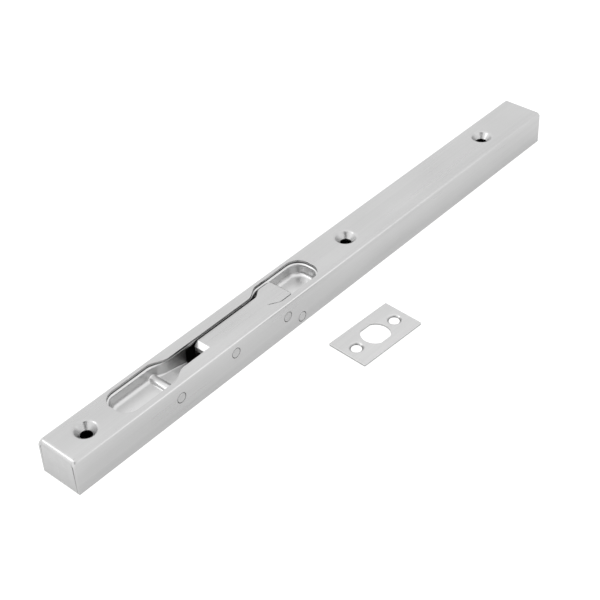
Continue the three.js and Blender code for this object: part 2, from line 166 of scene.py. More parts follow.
def block_outline(x_from, y_from, x_to, y_to, radius, steps=5):
    corners = [(x_from, y_from), (x_to, y_from), (x_to, y_to), (x_from, y_to)]
    return softened(corners, radius, steps)


# ---- meshes: points and faces gathered in millimetres, then welded into one closed surface


class Shell:
    """The points and faces of one piece. Loops are lists of places in its list of points."""

    def __init__(self):
        self.points = []
        self.faces = []

    def loop(self, points):
        """A new loop through the points."""
        first = len(self.points)
        self.points.extend(Vector(point) for point in points)
        return list(range(first, len(self.points)))

    def band(self, one, other, closed=True, skip=()):
        """Four-sided faces between two loops, apart from those to skip."""
        count = len(one)
        for i in range(count if closed else count - 1):
            j = (i + 1) % count
            if i not in skip:
                self.faces.append((one[i], one[j], other[j], other[i]))

    def bands(self, rings, closed=True, skip=()):
        for one, other in zip(rings, rings[1:]):
            self.band(one, other, closed, skip)

    def cap(self, *loops):
        """A flat face inside the first loop and outside the others."""
        order = [i for loop in loops for i in loop]
        corners = [[self.points[i] for i in loop] for loop in loops]
        for triangle in tessellate_polygon(corners):
            self.faces.append(tuple(order[i] for i in triangle))

    def make(self, name, body, material, slot, replaces):
        """The finished piece, riding on its body in place of its CAD node."""
        mesh = bpy.data.meshes.new(name)
        surface = bmesh.new()
        verts = [surface.verts.new(point) for point in self.points]
        for face in self.faces:
            corners = [verts[i] for i in dict.fromkeys(face)]
            if len(corners) > 2 and surface.faces.get(corners) is None:
                surface.faces.new(corners)
        bmesh.ops.remove_doubles(surface, verts=surface.verts, dist=WELD)
        bmesh.ops.dissolve_degenerate(surface, edges=surface.edges, dist=WELD / 10)
        loose = [v for v in surface.verts if not v.link_faces]
        bmesh.ops.delete(surface, geom=loose, context="VERTS")
        bmesh.ops.recalc_face_normals(surface, faces=surface.faces)
        if any(len(edge.link_faces) != 2 for edge in surface.edges):
            raise RuntimeError(name + " is not closed")
        bmesh.ops.scale(surface, vec=(MM, MM, MM), verts=surface.verts)
        surface.to_mesh(mesh)
        surface.free()
        piece = bpy.data.objects.new(name, mesh)
        bpy.context.scene.collection.objects.link(piece)
        shade(piece)
        piece.data.materials.clear()
        piece.data.materials.append(material)
        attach(piece, body)
        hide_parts(replaces)


def shade(piece):
    """Smooth faces, hard edges only at sharp folds, and normals led by the larger faces."""
    piece.data.shade_smooth()
    piece.data.set_sharp_from_angle(angle=SHARP)
    weighted = piece.modifiers.new("weighted", "WEIGHTED_NORMAL")
    weighted.keep_sharp = True
    weighted.weight = 100
    bpy.context.view_layer.update()
    evaluated = piece.evaluated_get(bpy.context.evaluated_depsgraph_get())
    mesh = bpy.data.meshes.new_from_object(evaluated)
    mesh.name = piece.name
    piece.modifiers.clear()
    piece.data = mesh


def rounded(top, bottom, radius, hole=False, steps=3):
    """An edge profile from the upper face to the lower: (growth of the outline, height) pairs."""
    sign = 1 if hole else -1
    turns = quarter_turns(steps)
    upper = [(sign * radius * (1 - math.sin(a)), top - radius * (1 - math.cos(a))) for a in turns]
    lower = [(growth, bottom + top - z) for growth, z in reversed(upper)]
    return upper + lower


def add_edge(shell, outline, profile, place):
    """The wall round an outline, from its profile. Returns its first and last loops."""
    rings = [shell.loop([place(x, y, z) for x, y in grown(outline, growth)]) for growth, z in profile]
    shell.bands(rings)
    return rings[0], rings[-1]


def plate(name, body, look, contours, place, node_name):
    """A plate with holes: outlines with their edge profiles, the outside first."""
    shell = Shell()
    edges = [add_edge(shell, outline, profile, place) for outline, profile in contours]
    shell.cap(*[upper for upper, _ in edges])
    shell.cap(*[lower for _, lower in edges])
    shell.make(name, body, *look, node_name)


def turned(name, body, look, axis, profile, node_name, soft=0.15):
    """A solid of revolution through its CAD node's middle, from pairs of a radius and a place along
    the axis."""
    middle = middle_mm(node_name)
    steps = 40
    along = "xyz".index(axis)
    shell = Shell()
    rings = []
    for radius, height in softened(profile, soft, closed=False):
        ring = []
        for x, y in circle(0, 0, radius, steps):
            spot = [x, y]
            spot.insert(along, height)
            ring.append([value + (0 if i == along else middle[i]) for i, value in enumerate(spot)])
        rings.append(shell.loop(ring))
    shell.bands(rings)
    shell.make(name, body, *look, node_name)


def lying(x, y, z):
    """Plan outlines: kept as they are."""
    return (x, y, z)


def upright(x, z, y):
    """Side view outlines in X and Z, with their thickness along Y."""
    return (x, y, z)


def upright_on(side):
    """Side view outlines in X and Z, with their thickness measured out to one side of the middle."""
    return lambda x, z, away: (x, side * away, z)


def endways(y, z, x):
    """End view outlines in Y and Z, with their thickness along X."""
    return (x, y, z)


# ---- materials


def node(tree, kind, **values):
    """A new shader node with its inputs or settings given by name."""
    made = tree.nodes.new(kind)
    for key, value in values.items():
        if key in made.inputs:
            made.inputs[key].default_value = value
        else:
            setattr(made, key, value)
    return made


def brushed(name, colour, roughness, grain=(14, 1500, 1500), tone=0.025, smudge=0.035, painted_shade=None):
    """Satin steel: fine grain drawn out along one axis, faint smudges, and a few long scratches.
    grain is the noise's frequency along X, Y and Z, per metre. The last argument, when given, paints shade
    into
    the colour: how much darker the steel is made at the first height than at the second, by height in the
    object."""
    relief = 0.010 * MM
    material = bpy.data.materials.new(name)
    material.use_nodes = True
    tree = material.node_tree
    shader = tree.nodes["Principled BSDF"]
    shader.inputs["Metallic"].default_value = 1.0
    shader.inputs["Anisotropic"].default_value = 0.35
    place = node(tree, "ShaderNodeTexCoord")

    def noise(scale, detail, stretch=(1, 1, 1), shift=(0, 0, 0)):
        mapping = node(tree, "ShaderNodeMapping")
        mapping.inputs["Scale"].default_value = stretch
        mapping.inputs["Location"].default_value = shift
        made = node(tree, "ShaderNodeTexNoise", Scale=scale, Detail=detail)
        tree.links.new(place.outputs["Object"], mapping.inputs["Vector"])
        tree.links.new(mapping.outputs["Vector"], made.inputs["Vector"])
        return made.outputs["Fac"]

    def spread(source, low, high, start=0.3, end=0.7):
        made = node(tree, "ShaderNodeMapRange")
        made.inputs["From Min"].default_value = start
        made.inputs["From Max"].default_value = end
        made.inputs["To Min"].default_value = low
        made.inputs["To Max"].default_value = high
        tree.links.new(source, made.inputs["Value"])
        return made.outputs["Result"]

    def joined(operation, one, other):
        made = node(tree, "ShaderNodeMath", operation=operation)
        tree.links.new(one, made.inputs[0])
        tree.links.new(other, made.inputs[1])
        return made.outputs["Value"]

    fine = noise(1.0, 3.0, grain)
    coarse = noise(1.0, 2.0, tuple(value / 4 for value in grain), (3.1, 1.7, 0.4))
    cloud = noise(60.0, 4.0, (0.5, 1, 1), (0.2, 5.0, 1.0))
    scratch = noise(1.0, 0.0, (9, 620, 620), (7.0, 2.0, 9.0))
    scratch_line = spread(scratch, 0.0, 0.3, 0.735, 0.76)
    grains = joined("ADD", spread(fine, -tone, tone), spread(coarse, -tone, tone))
    light = joined("ADD", grains, spread(cloud, 1 - smudge, 1 + smudge))
    # Painted shade: the colour is made darker lower down in the object, in place of shade the lights don't
    # make.
    if painted_shade:
        split = node(tree, "ShaderNodeSeparateXYZ")
        tree.links.new(place.outputs["Object"], split.inputs["Vector"])
        darker, low, high = painted_shade
        light = joined("ADD", light, spread(split.outputs["Z"], -darker, 0.0, low * MM, high * MM))
    tint = node(tree, "ShaderNodeVectorMath", operation="SCALE")
    tint.inputs[0].default_value = colour
    tree.links.new(light, tint.inputs["Scale"])
    tree.links.new(tint.outputs["Vector"], shader.inputs["Base Color"])
    dulling = joined("ADD", spread(fine, -0.03, 0.04), spread(scratch, 0.0, -0.06, 0.735, 0.76))
    rough = joined("ADD", spread(cloud, roughness - 0.04, roughness + 0.05), dulling)
    tree.links.new(rough, shader.inputs["Roughness"])
    height = joined("SUBTRACT", joined("ADD", fine, coarse), scratch_line)
    bump = node(tree, "ShaderNodeBump", Strength=0.5, Distance=relief)
    tree.links.new(height, bump.inputs["Height"])
    tree.links.new(bump.outputs["Normal"], shader.inputs["Normal"])
    return material


# Each look is a material and the record's slot for it.
strike_low, strike_high = box_mm("strike_plate")
# Painted shade on the case: its steel is made 0.13 darker from just under the face down to the foot of its
# walls and flaps, and so also down in its dimples.
CASE_PAINTED_SHADE = (0.13, case_bottom, -FOLD)
# Painted shade on the strike plate: its steel is made 0.8 darker from just under its upper face down to its
# underside, darkening its countersinks, holes and edges.
STRIKE_PAINTED_SHADE = (0.8, strike_low.z, strike_high.z - 0.25)
CASE = (brushed("case_steel", (0.50, 0.50, 0.50), 0.32, painted_shade=CASE_PAINTED_SHADE), "case_sheet")
PAN = (brushed("pan_steel", (0.64, 0.64, 0.64), 0.34, (60, 500, 500), tone=0.02), "pan_sheet")
LEVER = (brushed("lever_steel", (0.50, 0.50, 0.50), 0.30, (20, 1700, 1700)), "lever_steel")
PIN = (brushed("pin_steel", (0.44, 0.44, 0.44), 0.26, (600, 600, 600), tone=0.03), "pin_steel")
PLATED = (brushed("plated_steel", (0.46, 0.47, 0.49), 0.40, (90, 260, 260), smudge=0.08), "plated_steel")
BOLT = (brushed("bolt_steel", (0.56, 0.56, 0.56), 0.26, (900, 30, 30), tone=0.03), "bolt_steel")
SPRING = (brushed("spring_steel", (0.36, 0.36, 0.37), 0.26, (20, 800, 800)), "spring_steel")
STRIKE_STEEL = brushed("strike_steel", (0.56, 0.56, 0.56), 0.34, (14, 1300, 1300), painted_shade=STRIKE_PAINTED_SHADE)
STRIKE = (STRIKE_STEEL, "strike_sheet")


# ---- the recess: a rear well, a neck and a front well, about the lever's pivot

NECK_END = 23  # where the neck begins to open out into the wells
REAR_WELL_START = 32  # and where each well has its full width
FRONT_WELL_START = 31
STRAIGHT_END = 50  # where the wells' round corners begin
END_ROWS = 8  # steps across each well's outer end
SLOT_REAR = -14.0  # the pan's floor is open from here
SLOT_FRONT = 28.2  # to here
RIDGE_AT = (middle_mm("rest_pin_front").x - middle_mm("rest_pin_rear").x) / 2
rest_pin_z = middle_mm("rest_pin_rear").z
PAN_SHEET = 0.8
PAN_TOP = -SHEET - CLEAR
PAN_FLOOR = -6.9
CHUTE_DEPTH = 1.9  # how far the floor falls between the rear well and the slot
RIDGE_RADIUS = 2.2  # of the pan's upper face over a rest pin
RIDGE_FILLET = 0.7

# Outlines of the recess: half the width of a well and of the neck, and the radius of the corners.
FACE_OPENING = (7.6, 4.2, 6.4)
FLANGE_EDGE = (8.45, 6.2, 7.3)
LIP_START = (7.6, 4.45, 6.4)
PAN_INSIDE = (6.7, 4.3, 5.5)
FOOT_START = (6.55, 4.2, 5.35)
FLOOR_EDGE = (4.7, 3.7, 3.5)
WALL_OUTSIDE = (7.4, 5.1, 6.2)
FOOT_OUTSIDE = (7.2, 5.0, 6.0)


def well_share(u):
    """How far the neck has opened out into the well: 0 in the neck, 1 in a well."""
    start = FRONT_WELL_START if u > 0 else REAR_WELL_START
    share = (abs(u) - NECK_END) / (start - NECK_END)
    return ease(min(max(share, 0), 1))


def ridge_rise(away):
    """The height above the floor of the ridge over a rest pin: an arc with a fillet at its foot."""
    centre_drop = PAN_FLOOR - rest_pin_z
    reach = RIDGE_RADIUS + RIDGE_FILLET
    fillet_at = math.sqrt(reach**2 - (centre_drop + RIDGE_FILLET) ** 2)
    if away >= fillet_at:
        return 0.0
    if away > fillet_at * RIDGE_RADIUS / reach:
        return RIDGE_FILLET - math.sqrt(RIDGE_FILLET**2 - (fillet_at - away) ** 2)
    return math.sqrt(RIDGE_RADIUS**2 - away**2) - centre_drop


RIDGE_STEPS = (0, 0.4, 0.8, 1.15, 1.45, 1.7, 1.87, 1.97, 2.1, 2.25, 2.42, 2.6)  # across half a ridge
STATION_GAP = 0.8  # between the other stations


def recess_stations():
    """Places along the straight part of the recess where its outline and floor have points."""
    stations = {SLOT_REAR, SLOT_FRONT, -STRAIGHT_END, STRAIGHT_END}
    for side in (-1, 1):
        for step in RIDGE_STEPS:
            stations.add(side * RIDGE_AT + step)
            stations.add(side * RIDGE_AT - step)
    too_close = 0.3
    for u in [-STRAIGHT_END + STATION_GAP * i for i in range(1, round(2 * STRAIGHT_END / STATION_GAP))]:
        if min(abs(u - other) for other in stations) > too_close:
            stations.add(u)
    return sorted(stations)


STATIONS = recess_stations()
CORNER_STEPS = 12


def recess_outline(well, neck, corner):
    """The whole outline, anticlockwise from the left end of its lower side."""
    bend = arc(STRAIGHT_END, well - corner, corner, 90, 0, CORNER_STEPS)[1:]
    straight = [(u, neck + (well - neck) * well_share(u)) for u in STATIONS]
    half = [(-u, y) for u, y in reversed(bend)] + straight + bend
    far, end = half[-1]
    rise = [end * (2 * i / END_ROWS - 1) for i in range(1, END_ROWS)]
    right_end = [(far, y) for y in rise]
    left_end = [(-far, -y) for y in rise]
    lower = [(u, -y) for u, y in half]
    return [(pivot_x + u, y) for u, y in lower + right_end + half[::-1] + left_end]


HALF_COUNT = len(STATIONS) + 2 * CORNER_STEPS  # points on one side of an outline


def opposite(i):
    """The place in a recess outline straight across from a place on its lower side."""
    return 2 * HALF_COUNT + END_ROWS - 2 - i


# ---- case: one folded channel with a flap folded down at each end

DIMPLE_RIM = 4.9  # radius where the cone, drawn on, would meet the face
SCREW_HOLE = 2.5


def dimple_profile():
    """From the face down the pressed cone, through the hole and back out under the face."""
    lip = 1.9  # radius of the bend from the face into the cone
    steep = math.radians(52)
    slope = math.tan(steep)
    reach = lip * math.tan(steep / 2)
    depth = (DIMPLE_RIM - SCREW_HOLE) * slope
    turns = [steep * i / 7 for i in range(8)]
    cone = [(DIMPLE_RIM + reach - lip * math.sin(a), -lip * (1 - math.cos(a))) for a in turns]
    mouth = 0.2
    hole_edge = [
        (SCREW_HOLE + mouth * (1 - math.cos(a)), -depth - mouth * (math.sin(a) - 0.4))
        for a in (math.radians(45), math.radians(20), 0)
    ]
    under = -depth - SHEET * 0.75
    back = [(SCREW_HOLE, under + 0.1), (SCREW_HOLE + 0.1, under), (SCREW_HOLE + 0.55, under)]
    outside = DIMPLE_RIM + SHEET
    foot = [(outside - 0.35, -SHEET - 0.45), (outside + 0.1, -SHEET - 0.12), (outside + 0.5, -SHEET)]
    return [(radius - DIMPLE_RIM, z) for radius, z in cone + hole_edge + back + foot]


def wall_bores():
    """The bores in the side walls: x, z and radius, with clearance round each pin's end."""
    found = []
    for name in ("pivot_rivet_near", "rest_pin_rear", "rest_pin_front", "guide_pin"):
        low, high = box_mm(name)
        middle = middle_mm(name)
        found.append((middle.x, middle.z, (high.x - low.x) / 2 + FIT))
    return found


def folded_section(reach, start, fold):
    """Section of a folded edge, from a start on the face: along the outside, round the lower edge
    and back up the inside. Also the places in it where the flat outside and inside begin."""
    edge = 0.2
    steps = 8
    outside = [(reach + u, v) for u, v in arc(-fold, -fold, fold, 90, 0, steps)]
    turn_out = [(reach + u, case_bottom + v) for u, v in arc(-edge, edge, edge, 0, -90, 3)]
    turn_in = [(reach - SHEET + u, case_bottom + v) for u, v in arc(edge, edge, edge, -90, -180, 3)]
    inside = [(reach + u, v) for u, v in arc(-fold, -fold, fold - SHEET, 0, 90, steps)]
    points = [(start, 0)] + outside + turn_out + turn_in + inside + [(start, -SHEET)]
    return points, (len(outside), len(outside) + len(turn_out) + len(turn_in))


def bowed(section, drop):
    """A section whose top is lowered, and its foot left where it is, to round the case's corners."""
    fading = 6.0
    return [(u, v - drop * max(1 + v / fading, 0)) for u, v in section]


def corner_stations(hook, notch_x, fold):
    """Places along a side wall from the notch to the end, with the wall's section at each."""
    chamfer = 0.08
    steps = 6
    turn_end = math.asin((fold - chamfer) / fold)
    stations = [(notch_x, hook)]
    for a in [turn_end * i / steps for i in range(steps + 1)]:
        stations.append((half_length - fold * (1 - math.sin(a)), bowed(hook, fold * (1 - math.cos(a)))))
    last = stations[-1][1]
    return stations + [(half_length, grown(last[::-1], -chamfer)[::-1])]


def add_side_wall(shell, side, seam, notches):
    """A side wall with its fold and its bores, from one rounded end to the other."""
    hook, flats = folded_section(half_width, seam, FOLD)
    rear, front = [corner_stations(hook, notches[end], END_FOLDS[end]) for end in (-1, 1)]
    stations = [(-x, points) for x, points in rear[::-1]] + front
    rings = [shell.loop([(x, side * u, v) for u, v in points]) for x, points in stations]
    joined = len(rear) - 1  # between the notches the fold runs on into the face
    for i, (one, other) in enumerate(zip(rings, rings[1:])):
        inner = 0 < i < len(rings) - 2
        shell.band(one, other, closed=i != joined, skip=flats if inner else ())
    shell.cap(rings[0])
    shell.cap(rings[-1])
    bores = []
    for x, z, radius in wall_bores():
        profile = rounded(half_width, half_width - SHEET, 0.1, hole=True, steps=2)
        bores.append(add_edge(shell, circle(x, z, radius, 36), profile, upright_on(side)))
    for which, index in enumerate(flats):
        upper = [ring[index] for ring in rings[1:-1]]
        lower = [ring[index + 1] for ring in rings[1:-1]]
        shell.cap(upper + lower[::-1], *[bore[which] for bore in bores])


def add_end_flap(shell, end, start_x, half_span):
    """An end flap. It is cut narrow where it folds and wider below, and nearly meets the side walls
    at their lower edge."""
    fold = END_FOLDS[end]
    notch_foot = -fold - 0.3
    shoulder = notch_foot - 0.6
    shoulder_gap, foot_gap = 0.3, 0.05
    shoulder_span = half_width - SHEET - shoulder_gap
    foot_span = half_width - SHEET - foot_gap

    def span_at(v):
        if v >= shoulder:
            share = max((notch_foot - v) / (notch_foot - shoulder), 0)
            return half_span + (shoulder_span - half_span) * share
        return shoulder_span + (foot_span - shoulder_span) * (shoulder - v) / (shoulder - case_bottom)

    section, (outer, inner) = folded_section(half_length, start_x, fold)
    flap = section[:outer + 1] + [(half_length, notch_foot), (half_length, shoulder)]
    flap += section[outer + 1:inner + 1]
    flap += [(half_length - SHEET, shoulder), (half_length - SHEET, notch_foot)] + section[inner + 1:]
    flats = (range(outer, outer + 4), range(inner + 2, inner + 6))
    rings = [shell.loop([(end * u, side * span_at(v), v) for u, v in flap]) for side in (-1, 1)]
    shell.band(*rings, closed=False, skip={i for flat in flats for i in flat[:-1]})
    for ring in rings:
        shell.cap(ring)
    bores = []
    if end > 0:
        outline = [(v, u + bolt_z) for u, v in flatted_circle(0, 0, *BOLT_HOLE)]
        profile = rounded(half_length, half_length - SHEET, 0.15, hole=True)
        bores.append(add_edge(shell, outline[::-1], profile, endways))
    for which, flat in enumerate(flats):
        outline = [rings[0][i] for i in flat] + [rings[1][i] for i in flat[::-1]]
        shell.cap(outline, *[bore[which] for bore in bores])


def make_case():
    shell = Shell()
    seam = 0.05  # between a flap and the side walls, where they fold
    side_margin, end_margin = 0.02, 0.05  # how far inside the folds the flat face ends
    seam_out = half_width - FOLD - side_margin
    seam_in = seam_out - seam
    flap_starts = {end: half_length - fold - end_margin for end, fold in END_FOLDS.items()}
    notches = {end: start - seam for end, start in flap_starts.items()}
    for side in (-1, 1):
        add_side_wall(shell, side, seam_out, notches)
    outline = []
    for end in (1, -1):
        add_end_flap(shell, end, flap_starts[end], seam_in)
        notch_x, flap_x = notches[end], flap_starts[end]
        corner_walk = [
            (notch_x, -seam_out), (notch_x, -seam_in), (flap_x, -seam_in),
            (flap_x, seam_in), (notch_x, seam_in), (notch_x, seam_out),
        ]
        outline += [(end * x, end * y) for x, y in corner_walk]
    upper = [shell.loop([(x, y, 0) for x, y in outline])]
    lower = [shell.loop([(x, y, -SHEET) for x, y in outline])]
    joined_sides = {2, 5, 8, 11}  # where the face runs on into a fold
    shell.band(upper[0], lower[0], skip=joined_sides)
    contours = [(recess_outline(*FACE_OPENING), rounded(0, -SHEET, 0.15, hole=True))]
    contours += [(circle(x, 0, DIMPLE_RIM, 56), dimple_profile()) for x in SCREW_PLACES]
    for contour, profile in contours:
        first, last = add_edge(shell, contour, profile, lying)
        upper.append(first)
        lower.append(last)
    shell.cap(*upper)
    shell.cap(*lower)
    shell.make("flush_bolt_case", "housing", *CASE, "case")


# ---- recess pan: one pressed sheet, with its lip rounded under the edge of the face's opening


def level_height(x):
    """The pan's floor without its ridges, level in the wells and falling towards the slot."""
    u = x - pivot_x
    if -NECK_END < u < 0:
        return PAN_FLOOR - CHUTE_DEPTH * (u + NECK_END) / (NECK_END + SLOT_REAR)
    return PAN_FLOOR


def floor_height(x):
    """The pan's floor with a ridge over each rest pin."""
    u = x - pivot_x
    return level_height(x) + max(ridge_rise(abs(u - side * RIDGE_AT)) for side in (-1, 1))


def fillet_height(x, share):
    """A place in the fillet between the floor and the wall: at the floor with no share, at the wall
    with a whole share. It is smaller in the neck and over the ridges, clear of the lever."""
    tall = 0.5 + 1.4 * well_share(x - pivot_x)
    small = 0.4
    return max(level_height(x) + tall * share, floor_height(x) + small * share)


def make_pan():
    shell = Shell()
    under = PAN_TOP - PAN_SHEET
    flange, lip, inside, foot, floor = [
        recess_outline(*size) for size in (FLANGE_EDGE, LIP_START, PAN_INSIDE, FOOT_START, FLOOR_EDGE)
    ]
    outside, foot_outside = recess_outline(*WALL_OUTSIDE), recess_outline(*FOOT_OUTSIDE)

    def level(outline, z):
        return shell.loop([(x, y, z) for x, y in outline])

    wall_top = -2.5
    rim = [level(flange, PAN_TOP)]
    for a in quarter_turns(8):
        place = mixed(lip, inside, math.sin(a))
        rim.append(level(place, PAN_TOP + (wall_top - PAN_TOP) * (1 - math.cos(a))))

    upper_drop = [rim[-1]]
    lower_drop = [level(outside, under)]
    for a in quarter_turns(6):
        above = 1 - math.sin(a)
        inward = 1 - math.cos(a)
        top = mixed(foot, floor, inward)
        bottom = mixed(foot_outside, floor, inward)
        below = PAN_SHEET * (1 - above)
        upper_drop.append(shell.loop([(x, y, fillet_height(x, above)) for x, y in top]))
        lower_drop.append(shell.loop([(x, y, fillet_height(x, above) - below) for x, y in bottom]))

    low, high = pivot_x + SLOT_REAR, pivot_x + SLOT_FRONT
    middles = [(one[0] + other[0]) / 2 for one, other in zip(floor, floor[1:] + floor[:1])]
    in_slot = {i for i, x in enumerate(middles) if low < x < high}
    out_of_slot = set(range(len(middles))) - in_slot
    shell.bands(rim)
    shell.bands(upper_drop, skip=in_slot)
    shell.bands(lower_drop, skip=in_slot)
    shell.band(upper_drop[0], lower_drop[0], skip=out_of_slot)
    flange_under = level(flange, under)
    shell.bands([lower_drop[0], flange_under, rim[0]])

    floors = []
    for drop in (upper_drop, lower_drop):
        rows = []
        for i in range(HALF_COUNT):
            start, end = drop[-1][i], drop[-1][opposite(i)]
            inner = [shell.points[start].lerp(shell.points[end], k / END_ROWS) for k in range(1, END_ROWS)]
            rows.append([start] + shell.loop(inner) + [end])
        for i, (one, other) in enumerate(zip(rows, rows[1:])):
            if i not in in_slot:
                shell.band(one, other, closed=False)
        floors.append(rows)
    for slot_end in (SLOT_REAR, SLOT_FRONT):
        i = CORNER_STEPS + STATIONS.index(slot_end)
        edges = []
        for drop, rows in zip((upper_drop, lower_drop), floors):
            down = [ring[i] for ring in drop]
            up = [ring[opposite(i)] for ring in drop[::-1]]
            edges.append(down + rows[i][1:-1] + up)
        shell.band(*edges, closed=False)
    shell.make("recess_tray", "housing", *PAN, "recess_pan")


# ---- lever: a wedge slotted underneath for the links, with a flat on its nose

LEVER_FACE = 4.75  # the upper face above the pivot
LEVER_TAPER = math.radians(11)  # between the upper face and the underside
NOSE_RADIUS = 10.2
NOSE_END = 10.1
NOSE_FLAT = ((-7.7, 4.75), (-9.78, 2.9))  # the flat's upper and lower edges, from the pivot
LEVER_REACH = 38
SHANK_HALF = 3.65
PADDLE_HALF = 6.25
FLARE = (26.0, 31.5)  # where the shank widens into the paddle
PLAN_CORNER = 1.0
LEVER_SLOT_HALF = 2.6
LEVER_SLOT_END = 16.2
LEVER_SKIN = 1.5  # over the slot
NOSE_WALL = 1.2
NOSE_MOUTH = 1.2  # the slot is open to the front below this height


def lever_half_width(u):
    over = max(u - (LEVER_REACH - PLAN_CORNER), -NOSE_END + PLAN_CORNER - u, 0)
    cut = PLAN_CORNER - math.sqrt(max(PLAN_CORNER**2 - over**2, 0))
    flare = ease(min(max((u - FLARE[0]) / (FLARE[1] - FLARE[0]), 0), 1))
    return SHANK_HALF + (PADDLE_HALF - SHANK_HALF) * flare - cut


def lever_heights(u):
    """The lever's upper and lower faces above its pivot, at a place along it."""
    upper = LEVER_FACE
    lower = -LEVER_FACE / math.cos(LEVER_TAPER) + u * math.tan(LEVER_TAPER)
    (top_u, top_z), (foot_u, foot_z) = NOSE_FLAT
    if u < top_u:
        upper = foot_z + (top_z - foot_z) * (u - foot_u) / (top_u - foot_u)
    if u < foot_u:
        upper = math.sqrt(NOSE_RADIUS**2 - u**2)
    if u < 0:
        lower = max(lower, -math.sqrt(NOSE_RADIUS**2 - u**2))
    return upper, lower


def slot_roof(u):
    inside = (NOSE_RADIUS - NOSE_WALL) ** 2 - min(u, 0) ** 2
    return max(NOSE_MOUTH, min(LEVER_FACE - LEVER_SKIN, math.sqrt(max(inside, 0))))


def lever_section(u, slotted):
    """One side of the lever's section, from its upper face round to the middle of its slot."""
    wide = lever_half_width(u)
    upper, lower = lever_heights(u)
    soft = min(0.4, (upper - lower) * 0.2)
    edge = min(0.25, (wide - LEVER_SLOT_HALF) * 0.4)
    turns = quarter_turns(4)
    tip = 0.3 * max((u - LEVER_REACH + PLAN_CORNER) / PLAN_CORNER, 0) ** 2
    upper, lower = upper - tip, lower + tip
    points = [(wide - soft * (1 - math.sin(a)), upper - soft * (1 - math.cos(a))) for a in turns]
    points += [(wide - edge * (1 - math.cos(a)), lower + edge * (1 - math.sin(a))) for a in turns]
    roof = slot_roof(u) if slotted else lower
    lift = 1 if slotted else 0
    points += [
        (LEVER_SLOT_HALF + edge * (1 - math.sin(a)), lower + lift * edge * (1 - math.cos(a))) for a in turns
    ]
    points += [
        (LEVER_SLOT_HALF - edge * (1 - math.cos(a)), roof - lift * edge * (1 - math.sin(a))) for a in turns
    ]
    return points


def make_lever():
    shell = Shell()
    flat_top, flat_foot = NOSE_FLAT[0][0], NOSE_FLAT[1][0]
    nose = [-NOSE_END + PLAN_CORNER * (1 - math.cos(a)) for a in quarter_turns(6)]
    nose = sorted(nose + [flat_foot, flat_top - 0.5, flat_top, flat_top + 0.1])
    slotted = nose + [-7.0, -6.0, -3.0, 0.0, 5.0, 10.0, LEVER_SLOT_END]
    solid = [LEVER_SLOT_END, 21.0]
    solid += [FLARE[0] + (FLARE[1] - FLARE[0]) * i / 10 for i in range(11)]
    solid += [34.0] + [LEVER_REACH - PLAN_CORNER * (1 - math.sin(a)) for a in quarter_turns(6)]
    rings = []
    for u, open_below in [(u, True) for u in slotted] + [(u, False) for u in solid]:
        right = lever_section(u, open_below)
        left = [(-y, z) for y, z in right[::-1]]
        rings.append(shell.loop([(pivot_x + u, y, pivot_z + z) for y, z in right + left]))
    per_side = len(rings[0]) // 2
    outer_wall, inner_wall = 4, 14  # where in a section its straight walls begin
    mirrored = [2 * per_side - 2 - i for i in (outer_wall, inner_wall)]
    straight = range(straight_start(slotted), len(slotted) - 1)
    skipped = {outer_wall, inner_wall, *mirrored}
    for i, (one, other) in enumerate(zip(rings, rings[1:])):
        shell.band(one, other, skip=skipped if i in straight else ())
    shell.cap(rings[0])
    shell.cap(rings[-1])
    bores = [(pivot_x, pivot_z, SPIGOT + FIT), (crank_x, crank_z, DRIVE_PIN + FIT)]
    for side in (1, -1):
        edges = []
        for x, z, radius in bores:
            profile = rounded(SHANK_HALF, LEVER_SLOT_HALF, 0.1, hole=True, steps=2)
            edges.append(add_edge(shell, circle(x, z, radius, 32), profile, upright_on(side)))
        for which, index in enumerate((outer_wall, inner_wall)):
            walls = rings[straight.start : straight.stop + 1]
            pair = (index, index + 1)
            if side < 0:
                pair = (2 * per_side - 1 - index, 2 * per_side - 2 - index)
            upper = [ring[pair[0]] for ring in walls]
            lower = [ring[pair[1]] for ring in walls]
            shell.cap(upper + lower[::-1], *[edge[which] for edge in edges])
    shell.make("finger_lever", "hand_lever", *LEVER, "lever")


def straight_start(stations):
    """The first station past the nose's rounded plan corners, where the cheeks are flat."""
    return min(i for i, u in enumerate(stations) if u >= -NOSE_END + PLAN_CORNER - 1e-6)


# ---- pins and rivets: their radii

REST_PIN = 1.25
GUIDE_PIN = 1.5
DRIVE_PIN = 1.25
DRIVE_BORE = DRIVE_PIN + 0.1
SPIGOT = 1.5
PIN_HEAD = 2.1


def spread_end():
    """The end of a pin spread in a side wall: a shallow dish inside a raised rim."""
    return [(0, half_width - 0.22), (1.1, half_width - 0.16), (1.6, half_width), (PIN_HEAD, half_width)]


def make_pins():
    shoulder = half_width - SHEET
    radii = {"rest_pin_rear": REST_PIN, "rest_pin_front": REST_PIN, "guide_pin": GUIDE_PIN}
    for name, radius in radii.items():
        end = spread_end() + [(PIN_HEAD, shoulder), (radius, shoulder)]
        profile = [(r, -y) for r, y in end] + end[::-1]
        turned(name + "_turned", "housing", PIN, "y", profile, name)
    for name, side in (("pivot_rivet_near", -1), ("pivot_rivet_far", 1)):
        shoulder = SHANK_HALF + CLEAR
        tip = LEVER_SLOT_HALF + CLEAR
        end = spread_end() + [(PIN_HEAD, shoulder), (SPIGOT, shoulder), (SPIGOT, tip), (0, tip)]
        turned(name + "_turned", "housing", PIN, "y", [(r, side * y) for r, y in end], name)
    for name, body, half in (
        ("crank_pin", "hand_lever", SHANK_HALF - 0.1),
        ("link_pin", "link", LEVER_SLOT_HALF - 0.2),
    ):
        profile = [(0, -half), (DRIVE_PIN, -half), (DRIVE_PIN, half), (0, half)]
        turned(name + "_turned", body, PIN, "y", profile, name, soft=0.25)


# ---- drive: links, yoke and drawbar

link_x = middle_mm("link_pin").x
draw_low, draw_high = box_mm("drawbar")


